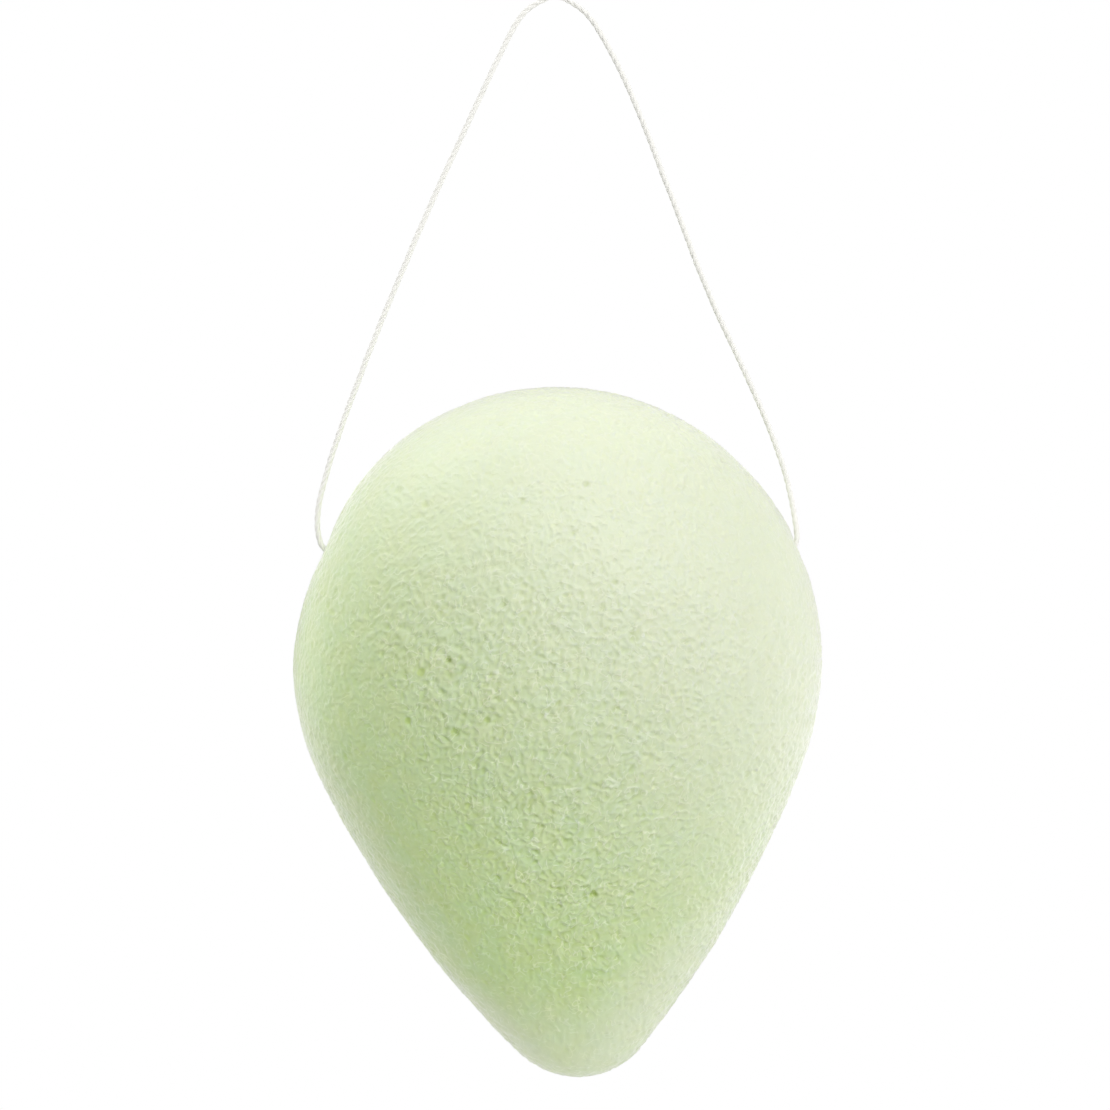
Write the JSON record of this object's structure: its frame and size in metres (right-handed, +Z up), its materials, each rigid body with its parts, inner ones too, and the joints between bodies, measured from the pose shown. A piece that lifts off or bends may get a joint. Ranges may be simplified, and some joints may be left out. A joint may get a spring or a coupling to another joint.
{
  "type": "konjac sponge",
  "caption": "Soft drop-shaped konjac foam face sponge with a flat back, hung on a loop of thin cotton string that is threaded through the foam from side to side.",
  "frame": {"origin": "inside the top of the string loop, where a hook carries it", "axes": "+Z up, +X to the right seen from the front and along the string's channel through the foam, front of the sponge towards -Y, flat back towards +Y"},
  "size_m": [0.069, 0.044, 0.141],
  "materials": {
    "konjac_foam": "matte open-pored plant-fibre foam, pale green",
    "cotton_string": "matte twisted cotton, off-white"
  },
  "bodies": {
    "hanging_string": {"string_loop": "cotton_string", "string_left_run": "cotton_string", "string_right_run": "cotton_string", "string_knot": "cotton_string"},
    "foam_drop": {"sponge": "konjac_foam"}
  },
  "joints": [
    {"name": "sponge_swing", "type": "hinge", "parent": "hanging_string", "child": "foam_drop", "pos_m": [0.00045, 0, -0.0717], "axis": [1, 0, 0], "range_deg": [-45, 45]}
  ]
}
